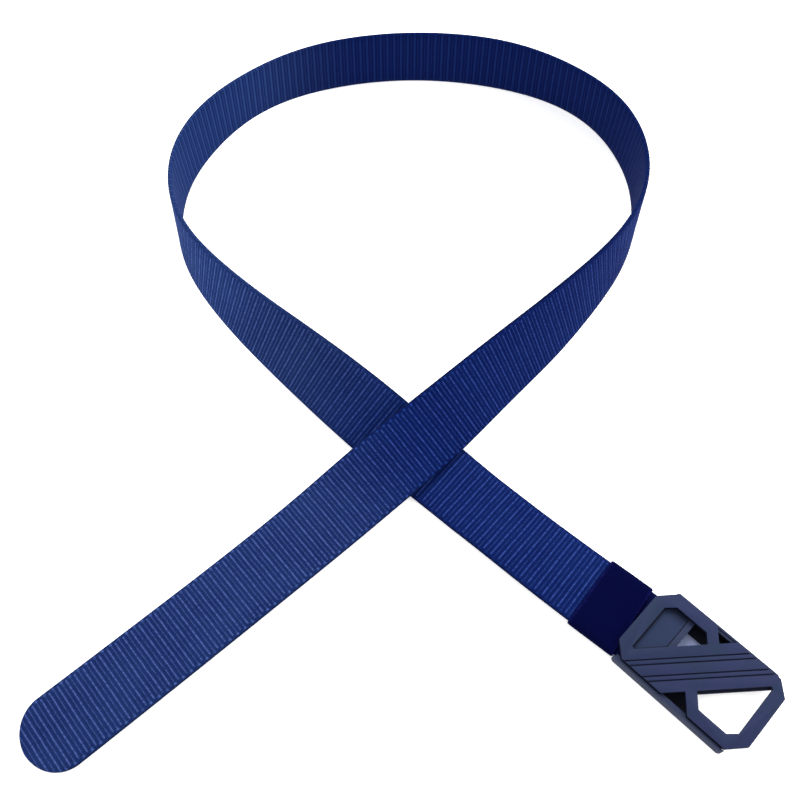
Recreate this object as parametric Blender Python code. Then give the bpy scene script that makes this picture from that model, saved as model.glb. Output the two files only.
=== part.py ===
"""A webbing belt lying in a loop that crosses itself, with a pierced box buckle and a keeper.

The strap starts at its rounded free end, passes over its other tail, stands on edge round the far
side of the loop, lies down again under the first tail and ends in the clamp inside the buckle.
"""
import math
from collections import namedtuple

import bmesh
import bpy
import numpy as np
from mathutils import Vector

MM = 0.001

# Clearance between pieces that touch on the real belt
GAP = 0.3 * MM

# Strap
STRAP_LENGTH = 1248 * MM
STRAP_WIDTH = 38 * MM
TIP_LENGTH = 17 * MM
STRAP_THICK = 2.6 * MM

# Keeper, a woven sleeve round the strap just behind the buckle
KEEPER_LENGTH = 24 * MM
KEEPER_WALL = 1.1 * MM
KEEPER_TO_PLATE = 1.0 * MM

# Buckle: a pierced face plate on two side walls, its ends measured from the band's middle
PLATE_ENDS = (35.1 * MM, 36.6 * MM)
PLATE_BESIDE_STRAP = 3 * MM
PLATE_WIDTH = STRAP_WIDTH + 2 * PLATE_BESIDE_STRAP
PLATE_THICK = 2.2 * MM
PLATE_TOP = 8.5 * MM
PLATE_CHAMFER = 0.4 * MM
LONG_CUT = (7.4 * MM, 8.3 * MM)
SHORT_CUT = (6.5 * MM, 6.6 * MM)
WALL_THICK = 1.5 * MM
WALL_STANDS_OUT = 1.4 * MM
WALL_SETBACKS = (6.7 * MM, 2.7 * MM)
WALL_FRONT_SETBACK = 7.0 * MM
WALL_BELOW_TOP = 1.5 * MM
WALL_ROUND = 0.4 * MM
ROOT_WIDTH = 1.0 * MM

# Face plate: a slanting band between two three-cornered windows, with a notch in each long side
BAND_ANGLE = 47.5
BAND_WIDTH = 20.8 * MM
GROOVE_OFFSETS = (2.7 * MM, 5.0 * MM)
GROOVE_WIDTH = 0.7 * MM
GROOVE_DEPTH = 0.6 * MM
END_BORDER = 6.5 * MM
SIDE_BORDER = 6.0 * MM
BAR_ANGLE = -50.0
BARS_FROM_CENTRE = (6.1 * MM, 3.4 * MM)
BAR_WIDTH = 5.5 * MM
WINDOW_CUT = 4.2 * MM
WINDOW_TIP_CUT = 2.0 * MM
LIP_OUT = 1.1 * MM
LIP_UNDER = 1.2 * MM
LIP_DEPTH = 1.6 * MM

# Inside the buckle
CLAMP_LENGTH = 14 * MM
CLAMP_TO_WALL = 1.9 * MM
CLAMP_WIDTH = PLATE_WIDTH + 2 * (WALL_STANDS_OUT - WALL_THICK - CLAMP_TO_WALL)
CLAMP_SHEET = 1.2 * MM
CLAMP_FROM_END = 18.6 * MM
CLAMP_FROM_CENTRE = PLATE_ENDS[0] - CLAMP_FROM_END
STRAP_END_PLAY = 1.0 * MM
CROSSBAR_WIDTH = 3.0 * MM
CROSSBAR_HEIGHT = 2.8 * MM
CROSSBAR_BELOW_CLAMP = 0.6 * MM
SHELVES_FROM_CENTRE = (12.4 * MM, 11 * MM)
SHELF_FRONT = 7.5 * MM
SHELF_SLANT = (4.5 * MM, 5 * MM)
SHELF_BOTTOM = 0.5 * MM
SHELF_TOP = 1.8 * MM
GRIP_BAR_RADIUS = 1.3 * MM
GRIP_BAR_FROM_CENTRE = 1.0 * MM

# How the strap's end sits in the buckle: the buckle turns a little against the strap
BUCKLE_TURN = -1.7
BUCKLE_SIDE_SHIFT = 1.8 * MM

# Mesh density
STATION_STEP = 8 * MM
TIP_STEPS = 8
EDGE_STEPS = 4
FACE_STEPS = 4
BAR_SIDES = 12

# The strap's route. share is the place along its length, heading the direction seen from above,
# roll the turn about its own length (90 stands on edge), lift the height of the lower edge in
# strap widths, and layers how many strap thicknesses it lies on.
Station = namedtuple("Station", "share heading roll lift layers")
ROUTE = (
    Station(0.0000, 40.4, 0.0, 0.000, 0.0),
    Station(0.0653, 40.8, 0.0, 0.000, 0.0),
    Station(0.0852, 40.9, 0.0, 0.000, 0.0),
    Station(0.1349, 40.3, 5.0, 0.010, 0.4),
    Station(0.1796, 39.3, 22.6, 0.065, 1.0),
    Station(0.2234, 43.2, 45.2, 0.105, 0.8),
    Station(0.2671, 44.8, 60.5, 0.110, 0.0),
    Station(0.3109, 52.3, 77.2, 0.090, 0.0),
    Station(0.3546, 75.3, 89.8, 0.030, 0.0),
    Station(0.3984, 106.9, 93.4, 0.000, 0.0),
    Station(0.4421, 141.0, 87.8, 0.000, 0.0),
    Station(0.4859, 164.8, 92.2, 0.000, 0.0),
    Station(0.5287, 180.5, 91.4, 0.000, 0.0),
    Station(0.5724, 197.1, 90.1, 0.010, 0.0),
    Station(0.6162, 220.2, 87.4, 0.040, 0.0),
    Station(0.6599, 245.0, 92.9, 0.060, 0.0),
    Station(0.7037, 278.2, 88.4, 0.080, 0.0),
    Station(0.7474, 308.2, 76.1, 0.090, 0.0),
    Station(0.7912, 319.0, 58.4, 0.030, 0.0),
    Station(0.8349, 319.9, 33.6, 0.000, 0.0),
    Station(0.8777, 319.5, 8.9, 0.000, 0.0),
    Station(0.9214, 318.1, -1.5, 0.025, 0.0),
    Station(0.9553, 320.2, -0.8, 0.045, 0.0),
    Station(0.9801, 321.0, 0.0, 0.045, 0.0),
    Station(1.0000, 317.5, 0.0, 0.045, 0.0),
)

Look = namedtuple("Look", "colour roughness metallic")
LOOKS = {
    "strap": Look((0.014, 0.032, 0.152), 0.85, 0.0),
    "keeper": Look((0.003, 0.004, 0.030), 0.90, 0.0),
    "buckle": Look((0.040, 0.052, 0.108), 0.45, 0.6),
}


def clear_scene():
    for obj in list(bpy.data.objects):
        bpy.data.objects.remove(obj, do_unlink=True)


def material(name):
    """One Principled material for each look."""
    found = bpy.data.materials.get(name)
    if found:
        return found
    look = LOOKS[name]
    made = bpy.data.materials.new(name)
    made.use_nodes = True
    shader = made.node_tree.nodes["Principled BSDF"]
    shader.inputs["Base Color"].default_value = (*look.colour, 1.0)
    shader.inputs["Roughness"].default_value = look.roughness
    shader.inputs["Metallic"].default_value = look.metallic
    return made


def add_object(name, bm, look, parent):
    """Turn a bmesh into an object in the scene, with outward faces."""
    bmesh.ops.recalc_face_normals(bm, faces=bm.faces)
    mesh = bpy.data.meshes.new(name)
    bm.to_mesh(mesh)
    bm.free()
    mesh.shade_smooth()
    mesh.set_sharp_from_angle(angle=math.radians(35))
    obj = bpy.data.objects.new(name, mesh)
    bpy.context.collection.objects.link(obj)
    obj.parent = parent
    if look:
        mesh.materials.append(material(look))
    return obj


def hide_cutter(obj):
    obj.hide_render = True
    obj.display_type = "WIRE"


def combine(obj, other, operation):
    """Add a live Boolean to obj and hide the other operand."""
    hide_cutter(other)
    modifier = obj.modifiers.new(other.name, "BOOLEAN")
    modifier.operation = operation
    modifier.solver = "EXACT"
    modifier.object = other


# The strap's path


def route_column(name, shares):
    """A cubic Hermite curve through one column of the route."""
    x = np.array([row.share for row in ROUTE])
    y = np.array([getattr(row, name) for row in ROUTE])
    slope = np.gradient(y, x)
    low = np.clip(np.searchsorted(x, shares, side="right") - 1, 0, len(x) - 2)
    span = x[low + 1] - x[low]
    t = (shares - x[low]) / span
    start = (1 + 2 * t) * (1 - t) ** 2 * y[low] + t * (1 - t) ** 2 * span * slope[low]
    end = t**2 * (3 - 2 * t) * y[low + 1] - t**2 * (1 - t) * span * slope[low + 1]
    return start + end


def strap_path():
    """Centre, direction along, direction across and outward normal at every millimetre."""
    count = int(round(STRAP_LENGTH / MM))
    share = np.linspace(0.0, 1.0, count + 1)
    step = STRAP_LENGTH / count
    heading = np.radians(route_column("heading", share))
    roll = np.radians(route_column("roll", share))
    lift = np.maximum(route_column("lift", share), 0.0) * STRAP_WIDTH
    lift += np.maximum(route_column("layers", share), 0.0) * (STRAP_THICK + GAP)
    half_core = (STRAP_WIDTH - STRAP_THICK) / 2
    height = lift + half_core * np.abs(np.sin(roll)) + STRAP_THICK / 2
    pitch = np.arcsin(np.gradient(height, step))
    along = np.stack(
        [np.cos(pitch) * np.cos(heading), np.cos(pitch) * np.sin(heading), np.sin(pitch)], axis=1
    )
    left = np.stack([-np.sin(heading), np.cos(heading), np.zeros_like(heading)], axis=1)
    upward = np.cross(along, left)
    across = np.cos(roll)[:, None] * left + np.sin(roll)[:, None] * upward
    normal = np.cross(along, across)
    middle = (along[1:] + along[:-1]) / 2 * step
    centre = np.zeros_like(along)
    centre[1:, :2] = np.cumsum(middle[:, :2], axis=0)
    centre[:, 2] = height
    return share, centre, along, across, normal


def path_at(path, distance):
    """Centre, across and normal of the strap at a distance from its tip."""
    share = path[0]
    values = [
        np.array([np.interp(distance / STRAP_LENGTH, share, column[:, k]) for k in range(3)])
        for column in (path[1], path[3], path[4])
    ]
    centre, across, normal = values
    return centre, across / np.linalg.norm(across), normal / np.linalg.norm(normal)


def stadium(half_width, half_thick):
    """A flat section with half-round edges, as pairs of across and normal offsets."""
    core = half_width - half_thick
    points = []
    for side in (1, -1):
        for k in range(EDGE_STEPS + 1):
            turn = math.pi * (0.5 - k / EDGE_STEPS)
            points.append((side * (core + half_thick * math.cos(turn)), side * half_thick * math.sin(turn)))
        for k in range(1, FACE_STEPS):
            points.append((side * core * (1 - 2 * k / FACE_STEPS), -side * half_thick))
    return points


def ring_at(path, distance, half_width, half_thick):
    centre, across, normal = path_at(path, distance)
    return [Vector(centre + across * a + normal * n) for a, n in stadium(half_width, half_thick)]


def bridge(bm, first, second):
    """Faces between two rings of the same length."""
    count = len(first)
    for k in range(count):
        bm.faces.new((first[k], first[(k + 1) % count], second[(k + 1) % count], second[k]))


def build_strap(path, parent):
    half = STRAP_WIDTH / 2
    stations = []
    for k in range(1, TIP_STEPS + 1):
        turn = math.pi / 2 * k / TIP_STEPS
        width = max(half * math.sin(turn), STRAP_THICK)
        stations.append((TIP_LENGTH * (1 - math.cos(turn)), width))
    body_count = math.ceil((STRAP_LENGTH - TIP_LENGTH) / STATION_STEP)
    for k in range(1, body_count + 1):
        stations.append((TIP_LENGTH + (STRAP_LENGTH - TIP_LENGTH) * k / body_count, half))
    bm = bmesh.new()
    rings = [
        [bm.verts.new(p) for p in ring_at(path, distance, width, STRAP_THICK / 2)]
        for distance, width in stations
    ]
    for first, second in zip(rings, rings[1:]):
        bridge(bm, first, second)
    bm.faces.new(rings[0])
    bm.faces.new(rings[-1])
    return add_object("strap", bm, "strap", parent)


def build_keeper(path, parent, start):
    """A sleeve with an opening for the strap, following the strap's path."""
    bm = bmesh.new()
    inner_half = (STRAP_WIDTH / 2 + GAP, STRAP_THICK / 2 + GAP)
    outer_half = (inner_half[0] + KEEPER_WALL, inner_half[1] + KEEPER_WALL)
    places = [start + KEEPER_LENGTH * k / 4 for k in range(5)]
    outer = [[bm.verts.new(p) for p in ring_at(path, d, *outer_half)] for d in places]
    inner = [[bm.verts.new(p) for p in ring_at(path, d, *inner_half)] for d in places]
    for surface in (outer, inner):
        for first, second in zip(surface, surface[1:]):
            bridge(bm, first, second)
    bridge(bm, outer[0], inner[0])
    bridge(bm, outer[-1], inner[-1])
    return add_object("keeper", bm, "keeper", parent)


# Flat outlines


def line(point, degrees):
    turn = math.radians(degrees)
    return np.array(point, float), np.array([math.cos(turn), math.sin(turn)])


def meet(first, second):
    """The point where two lines cross."""
    (p, d), (q, e) = first, second
    reach = ((q[0] - p[0]) * e[1] - (q[1] - p[1]) * e[0]) / (d[0] * e[1] - d[1] * e[0])
    return p + d * reach


def cut_corner(before, corner, after, size):
    """Two points that replace a corner, each the same distance from it."""
    corner = np.array(corner)
    points = []
    for other in (before, after):
        away = np.array(other) - corner
        points.append(corner + away / np.linalg.norm(away) * size)
    return points


def turned(points):
    """The same outline turned half a turn, as the plate's design repeats."""
    return [-np.array(p) for p in points]


def band_point(along, offset):
    """A point given along and across the slanting band."""
    turn = math.radians(BAND_ANGLE)
    return np.array([
        along * math.cos(turn) - offset * math.sin(turn),
        along * math.sin(turn) + offset * math.cos(turn),
    ])


def band_edge():
    return line(band_point(0.0, BAND_WIDTH / 2), BAND_ANGLE)


def plate_half(start, stop, bar_from_centre):
    """The plate's outline on one long side, from the start end to the stop end."""
    half_width = PLATE_WIDTH / 2
    side = line((0.0, half_width), 0.0)
    notch_foot = band_point(bar_from_centre + BAR_WIDTH, BAND_WIDTH / 2)
    points = [
        (-start, half_width - LONG_CUT[1]),
        (-start + LONG_CUT[0], half_width),
        meet(side, line(notch_foot, BAR_ANGLE)),
        notch_foot,
        meet(side, band_edge()),
        (stop - SHORT_CUT[0], half_width),
        (stop, half_width - SHORT_CUT[1]),
    ]
    return [np.array(p) for p in points]


def plate_outline():
    start, stop = PLATE_ENDS
    far_bar, near_bar = BARS_FROM_CENTRE
    return plate_half(start, stop, far_bar) + turned(plate_half(stop, start, near_bar))


def window_outline(plate_end, bar_from_centre):
    """A window beside the band, towards one end of the plate; the other one is turned."""
    edge = band_edge()
    bar = line(band_point(bar_from_centre, BAND_WIDTH / 2), BAR_ANGLE)
    side = line((0.0, PLATE_WIDTH / 2 - SIDE_BORDER), 0.0)
    end = line((-plate_end + END_BORDER, 0.0), 90.0)
    tip, foot = meet(edge, end), meet(edge, bar)
    head, corner = meet(side, bar), meet(side, end)
    return (
        cut_corner(foot, tip, corner, WINDOW_TIP_CUT)
        + cut_corner(tip, corner, head, WINDOW_CUT)
        + [head, foot]
    )


def lip_outline():
    """A low ledge along the band's edge at the far window."""
    turn = math.radians(BAND_ANGLE)
    tip = meet(band_edge(), line((-PLATE_ENDS[1] + END_BORDER, 0.0), 90.0))
    stop = -(tip[0] * math.cos(turn) + tip[1] * math.sin(turn))
    start = -BARS_FROM_CENTRE[1]
    outer = -BAND_WIDTH / 2 - LIP_OUT
    inner = -BAND_WIDTH / 2 + LIP_UNDER
    return [band_point(a, offset) for a, offset in ((start, outer), (stop, outer), (stop, inner), (start, inner))]


def offset_outline(points, distance):
    """Move every edge of a closed outline outwards by the same distance."""
    count = len(points)
    area = sum(
        points[k][0] * points[(k + 1) % count][1] - points[(k + 1) % count][0] * points[k][1]
        for k in range(count)
    )
    outward = 1.0 if area > 0 else -1.0
    edges = []
    for k in range(count):
        start, stop = np.array(points[k]), np.array(points[(k + 1) % count])
        way = (stop - start) / np.linalg.norm(stop - start)
        edges.append((start + np.array([way[1], -way[0]]) * outward * distance, way))
    return [meet(edges[k - 1], edges[k]) for k in range(count)]


def rectangle(u_low, u_high, v_low, v_high):
    return [(u_low, v_low), (u_high, v_low), (u_high, v_high), (u_low, v_high)]


class BuckleFrame:
    """Places flat outlines of the buckle on the strap's end."""

    def __init__(self, path):
        end, across, _normal = path_at(path, STRAP_LENGTH)
        strap_heading = math.atan2(across[1], across[0]) - math.pi / 2
        heading = strap_heading + math.radians(BUCKLE_TURN)
        self.forward = np.array([math.cos(heading), math.sin(heading)])
        self.left = np.array([-self.forward[1], self.forward[0]])
        strap_end_in_buckle = -CLAMP_FROM_CENTRE - CLAMP_SHEET - STRAP_END_PLAY
        self.centre = end[:2] - self.forward * strap_end_in_buckle + self.left * BUCKLE_SIDE_SHIFT

    def point(self, uv, height):
        flat = self.centre + self.forward * uv[0] + self.left * uv[1]
        return Vector((flat[0], flat[1], height))

    def prism(self, name, outline, levels, look, parent):
        """A solid through levels of (height, outward offset) of one outline."""
        bm = bmesh.new()
        rings = []
        for height, offset in levels:
            outline_here = offset_outline(outline, offset) if offset else outline
            rings.append([bm.verts.new(self.point(p, height)) for p in outline_here])
        for first, second in zip(rings, rings[1:]):
            bridge(bm, first, second)
        bm.faces.new(rings[0])
        bm.faces.new(rings[-1])
        return add_object(name, bm, look, parent)


def build_body(frame, parent):
    """The casting: face plate with its lip, side walls with a low shelf inside each, and the clamp's crossbar."""
    top, below = PLATE_TOP, PLATE_TOP - PLATE_THICK
    chamfer = PLATE_CHAMFER
    body = frame.prism(
        "buckle_body", plate_outline(), [(below, 0.0), (top - chamfer, 0.0), (top, -chamfer)], "buckle", parent
    )
    margin = 2 * MM
    cut_levels = [(below - margin, 0.0), (top - chamfer, 0.0), (top + margin, chamfer + margin)]
    near, far = (window_outline(end, bar) for end, bar in zip(PLATE_ENDS, BARS_FROM_CENTRE))
    for name, outline in (("window_near", near), ("window_far", turned(far))):
        combine(body, frame.prism(name, outline, cut_levels, None, parent), "DIFFERENCE")
    lip_levels = [(below - LIP_DEPTH, 0.0), (below + PLATE_THICK / 8, 0.0)]
    combine(body, frame.prism("band_lip", lip_outline(), lip_levels, None, parent), "UNION")
    reach = 2 * PLATE_ENDS[1]
    for number, offset in enumerate((*GROOVE_OFFSETS, *(-o for o in GROOVE_OFFSETS))):
        groove = [
            band_point(a, offset + s * GROOVE_WIDTH / 2) for a, s in ((-reach, -1), (reach, -1), (reach, 1), (-reach, 1))
        ]
        levels = [(top - GROOVE_DEPTH, 0.0), (top + margin, 0.0)]
        combine(body, frame.prism(f"groove_{number}", groove, levels, None, parent), "DIFFERENCE")
    outer = PLATE_WIDTH / 2 + WALL_STANDS_OUT
    wall_top = top - WALL_BELOW_TOP
    stop = PLATE_ENDS[1] - WALL_FRONT_SETBACK
    solids = [body]
    for side, setback in zip((1, -1), WALL_SETBACKS):
        start = -PLATE_ENDS[0] + setback
        v = sorted((side * outer, side * (outer - WALL_THICK)))
        outline = rectangle(start, stop, *v)
        levels = [
            (0.0, -WALL_ROUND),
            (WALL_ROUND, 0.0),
            (wall_top - WALL_ROUND, 0.0),
            (wall_top, -WALL_ROUND),
        ]
        wall = frame.prism(f"wall_{side}", outline, levels, None, parent)
        combine(body, wall, "UNION")
        solids.append(wall)
        v = sorted((side * (outer - WALL_THICK / 2), side * (outer - WALL_THICK - ROOT_WIDTH)))
        root_outline = rectangle(start + ROOT_WIDTH, stop - ROOT_WIDTH, *v)
        root_levels = [(below - ROOT_WIDTH, 0.0), (below + PLATE_THICK / 4, 0.0)]
        root = frame.prism(f"wall_root_{side}", root_outline, root_levels, None, parent)
        combine(body, root, "UNION")
    inner = outer - WALL_THICK / 2
    bar_near = -CLAMP_FROM_CENTRE + GAP
    bar_top = PLATE_TOP - PLATE_THICK - CROSSBAR_BELOW_CLAMP
    crossbar = frame.prism(
        "crossbar",
        rectangle(bar_near, bar_near + CROSSBAR_WIDTH, -inner, inner),
        [(bar_top - CROSSBAR_HEIGHT, 0.0), (bar_top, 0.0)],
        None,
        parent,
    )
    combine(body, crossbar, "UNION")
    for side, from_centre in zip((1, -1), SHELVES_FROM_CENTRE):
        edge = inner - ROOT_WIDTH / 4
        corners = [
            (bar_near, from_centre),
            (SHELF_FRONT - SHELF_SLANT[0], from_centre),
            (SHELF_FRONT, from_centre + SHELF_SLANT[1]),
            (SHELF_FRONT, edge),
            (bar_near, edge),
        ]
        shelf = frame.prism(
            f"shelf_{side}", [(u, side * v) for u, v in corners], [(SHELF_BOTTOM, 0.0), (SHELF_TOP, 0.0)], None, parent
        )
        combine(body, shelf, "UNION")
    return solids


def build_clamp(frame, parent):
    """A folded sheet that holds the strap's end, open towards the strap and at its sides."""
    strap_low = ROUTE[-1].lift * STRAP_WIDTH
    bottom = strap_low - GAP - CLAMP_SHEET
    roof = strap_low + STRAP_THICK + GAP
    front = -CLAMP_FROM_CENTRE
    back = front - CLAMP_LENGTH
    profile = [
        (back, bottom), (front, bottom), (front, roof + CLAMP_SHEET), (back, roof + CLAMP_SHEET),
        (back, roof), (front - CLAMP_SHEET, roof), (front - CLAMP_SHEET, bottom + CLAMP_SHEET),
        (back, bottom + CLAMP_SHEET),
    ]
    bm = bmesh.new()
    ends = []
    for v in (-CLAMP_WIDTH / 2, CLAMP_WIDTH / 2):
        ends.append([bm.verts.new(frame.point((u, v), z)) for u, z in profile])
    bridge(bm, *ends)
    for ring in ends:
        bm.faces.new(ring)
    return add_object("strap_clamp", bm, "buckle", parent)


def build_grip_bar(frame, parent):
    """A plain round bar hidden under the band, which the free end is pulled over."""
    half = min(SHELVES_FROM_CENTRE) - GAP
    bm = bmesh.new()
    ends = []
    for v in (-half, half):
        ring = []
        for k in range(BAR_SIDES):
            turn = 2 * math.pi * (k + 0.5) / BAR_SIDES
            u = -GRIP_BAR_FROM_CENTRE + GRIP_BAR_RADIUS * math.cos(turn)
            height = GAP + GRIP_BAR_RADIUS * (1 + math.sin(turn))
            ring.append(bm.verts.new(frame.point((u, v), height)))
        ends.append(ring)
    bridge(bm, *ends)
    for ring in ends:
        bm.faces.new(ring)
    return add_object("grip_bar", bm, "buckle", parent)


def stand_on_origin(root, solids):
    """Move everything so that the middle of the box's underside is the origin."""
    corners = np.array([obj.matrix_world @ v.co for obj in solids for v in obj.data.vertices])
    low, high = corners.min(axis=0), corners.max(axis=0)
    root.location = (-(low[0] + high[0]) / 2, -(low[1] + high[1]) / 2, -low[2])


def main():
    clear_scene()
    root = bpy.data.objects.new("belt", None)
    bpy.context.collection.objects.link(root)
    path = strap_path()
    frame = BuckleFrame(path)
    solids = [build_strap(path, root)]
    clamp_back_to_end = CLAMP_LENGTH - CLAMP_SHEET - STRAP_END_PLAY
    plate_end_to_strap_end = PLATE_ENDS[0] - CLAMP_FROM_CENTRE - CLAMP_SHEET - STRAP_END_PLAY
    keeper_end = STRAP_LENGTH - max(plate_end_to_strap_end, clamp_back_to_end) - KEEPER_TO_PLATE
    solids.append(build_keeper(path, root, keeper_end - KEEPER_LENGTH))
    solids += build_body(frame, root)
    solids.append(build_clamp(frame, root))
    solids.append(build_grip_bar(frame, root))
    stand_on_origin(root, solids)
    bpy.context.view_layer.update()


main()
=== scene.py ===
"""The belt's looks: ribbed webbing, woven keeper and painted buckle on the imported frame."""
import math
from collections import namedtuple

import bmesh
import bpy
import numpy as np
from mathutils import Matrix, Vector


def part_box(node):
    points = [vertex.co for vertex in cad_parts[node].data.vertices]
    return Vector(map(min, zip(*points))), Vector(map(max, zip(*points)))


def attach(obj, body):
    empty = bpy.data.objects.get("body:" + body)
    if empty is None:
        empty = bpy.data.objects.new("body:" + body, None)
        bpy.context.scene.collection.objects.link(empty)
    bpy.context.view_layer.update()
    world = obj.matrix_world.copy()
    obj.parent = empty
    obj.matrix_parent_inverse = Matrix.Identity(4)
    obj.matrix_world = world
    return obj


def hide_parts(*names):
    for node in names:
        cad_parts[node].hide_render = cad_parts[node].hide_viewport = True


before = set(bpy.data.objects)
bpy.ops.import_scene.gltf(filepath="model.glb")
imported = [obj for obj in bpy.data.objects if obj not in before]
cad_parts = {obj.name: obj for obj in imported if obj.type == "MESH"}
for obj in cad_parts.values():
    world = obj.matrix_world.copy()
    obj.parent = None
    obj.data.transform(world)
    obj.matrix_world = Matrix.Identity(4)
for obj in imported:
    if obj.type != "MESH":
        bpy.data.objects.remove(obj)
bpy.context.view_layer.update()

MM = 0.001

# Sizes repeated from the part's source

GAP = 0.3 * MM

STRAP_LENGTH = 1248 * MM
STRAP_WIDTH = 38 * MM
TIP_LENGTH = 17 * MM
STRAP_THICK = 2.6 * MM

KEEPER_LENGTH = 24 * MM
KEEPER_WALL = 1.1 * MM
KEEPER_TO_PLATE = 1.0 * MM

PLATE_ENDS = (35.1 * MM, 36.6 * MM)
PLATE_WIDTH = 44 * MM
PLATE_THICK = 2.2 * MM
PLATE_TOP = 8.5 * MM
LONG_CUT = (7.4 * MM, 8.3 * MM)
SHORT_CUT = (6.5 * MM, 6.6 * MM)
WALL_THICK = 1.5 * MM
WALL_STANDS_OUT = 1.4 * MM
WALL_SETBACKS = (6.7 * MM, 2.7 * MM)
WALL_FRONT_SETBACK = 7.0 * MM
WALL_BELOW_TOP = 1.5 * MM

BAND_ANGLE = 47.5
BAND_WIDTH = 20.8 * MM
GROOVE_OFFSETS = (2.7 * MM, 5.0 * MM)
GROOVE_WIDTH = 0.7 * MM
END_BORDER = 6.5 * MM
SIDE_BORDER = 6.0 * MM
BAR_ANGLE = -50.0
BARS_FROM_CENTRE = (6.1 * MM, 3.4 * MM)
BAR_WIDTH = 5.5 * MM
WINDOW_CUT = 4.2 * MM
WINDOW_TIP_CUT = 2.0 * MM
LIP_OUT = 1.1 * MM
LIP_UNDER = 1.2 * MM
LIP_DEPTH = 1.6 * MM

CLAMP_LENGTH = 14 * MM
CLAMP_WIDTH = 40 * MM
CLAMP_SHEET = 1.2 * MM
CLAMP_FROM_CENTRE = 16.5 * MM
STRAP_END_PLAY = 1.0 * MM
CROSSBAR_WIDTH = 3.0 * MM
CROSSBAR_HEIGHT = 2.8 * MM
CROSSBAR_BELOW_CLAMP = 0.6 * MM
SHELVES_FROM_CENTRE = (12.4 * MM, 11 * MM)
SHELF_FRONT = 7.5 * MM
SHELF_SLANT = (4.5 * MM, 5 * MM)
SHELF_BOTTOM = 0.5 * MM
SHELF_TOP = 1.8 * MM

BUCKLE_TURN = -1.7
BUCKLE_SIDE_SHIFT = 1.8 * MM

Station = namedtuple("Station", "share heading roll lift layers")
ROUTE = (
    Station(0.0000, 40.4, 0.0, 0.000, 0.0),
    Station(0.0653, 40.8, 0.0, 0.000, 0.0),
    Station(0.0852, 40.9, 0.0, 0.000, 0.0),
    Station(0.1349, 40.3, 5.0, 0.010, 0.4),
    Station(0.1796, 39.3, 22.6, 0.065, 1.0),
    Station(0.2234, 43.2, 45.2, 0.105, 0.8),
    Station(0.2671, 44.8, 60.5, 0.110, 0.0),
    Station(0.3109, 52.3, 77.2, 0.090, 0.0),
    Station(0.3546, 75.3, 89.8, 0.030, 0.0),
    Station(0.3984, 106.9, 93.4, 0.000, 0.0),
    Station(0.4421, 141.0, 87.8, 0.000, 0.0),
    Station(0.4859, 164.8, 92.2, 0.000, 0.0),
    Station(0.5287, 180.5, 91.4, 0.000, 0.0),
    Station(0.5724, 197.1, 90.1, 0.010, 0.0),
    Station(0.6162, 220.2, 87.4, 0.040, 0.0),
    Station(0.6599, 245.0, 92.9, 0.060, 0.0),
    Station(0.7037, 278.2, 88.4, 0.080, 0.0),
    Station(0.7474, 308.2, 76.1, 0.090, 0.0),
    Station(0.7912, 319.0, 58.4, 0.030, 0.0),
    Station(0.8349, 319.9, 33.6, 0.000, 0.0),
    Station(0.8777, 319.5, 8.9, 0.000, 0.0),
    Station(0.9214, 318.1, -1.5, 0.025, 0.0),
    Station(0.9553, 320.2, -0.8, 0.045, 0.0),
    Station(0.9801, 321.0, 0.0, 0.045, 0.0),
    Station(1.0000, 317.5, 0.0, 0.045, 0.0),
)

# Sizes that only the scene has

# Webbing: one strong and one weak rib in each period, both across the strap
RIB_PERIOD = 4.49 * MM
RIB_HALF_WIDTH = 0.42 * MM
STRONG_RIB = 0.20 * MM
WEAK_RIB = 0.13 * MM
RIB_TO_EDGE = 1.3 * MM
INNER_RIB_SHARE = 0.7
FACE_POINTS = 9
EDGE_POINTS = 3
TIP_RINGS = 18
TIP_TURNS = (0.10, 1.2)
FIRST_RING = 0.05 * MM
LEAST_RING_STEP = 0.04 * MM

KEEPER_SLANT = (0.8 * MM, 1.2 * MM)
KEEPER_LINING = 0.06 * MM
KEEPER_STEPS = 40
KEEPER_ROUND = 0.9 * KEEPER_WALL
KEEPER_ROUND_SHARE = 0.55

GROOVE_DEPTH = 0.7 * MM
CUT_MARGIN = 2 * MM
FINE_GAP = 0.08 * MM
WALL_END_CUT = (1.3 * MM, 0.8 * MM)
WALL_SEAM = 0.3 * MM
WEB_WIDTH = 1 * MM
WEB_THICK = 1 * MM
SHELF_FRONT_AT_WALL = 10.5 * MM
SHELF_TO_WALL = 0.05 * MM
BACKING_THICK = 0.8 * MM
BACKING_REACH = 6 * MM
BACKING_BELOW_PLATE = 1.2 * MM

# Where the webbing's looks change, in millimetres from its tip
# Painted light on the tail, fading out between these places
PAINTED_LIGHT_TAIL_ENDS = (165.0, 240.0)
KNUCKLES_FADE = (260.0, 340.0)
ON_EDGE = ((330.0, 430.0), (960.0, 1060.0))
# Painted light on the loop's side, and a painted sheen on part of it
PAINTED_LIGHT_SIDE = ((690.0, 770.0), (1000.0, 1085.0))
PAINTED_SHEEN_SIDE = ((720.0, 780.0), (930.0, 1030.0))
# Painted shade on the strap's end inside the buckle
PAINTED_SHADE_END_STARTS = (1229.0, 1230.0)

# And in millimetres from its middle line
RIBS_END = (16.6, 17.6)
RIM_STARTS = (16.0, 17.6)
KNUCKLES_PLACE = 17.6

# Waves in radians for each millimetre, along and across
WEBBING_CELLS = (8.395, 6.9)
WEBBING_BEADS = (2.1, 8.4)
KEEPER_CELLS = (7.0, 9.0)
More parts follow.
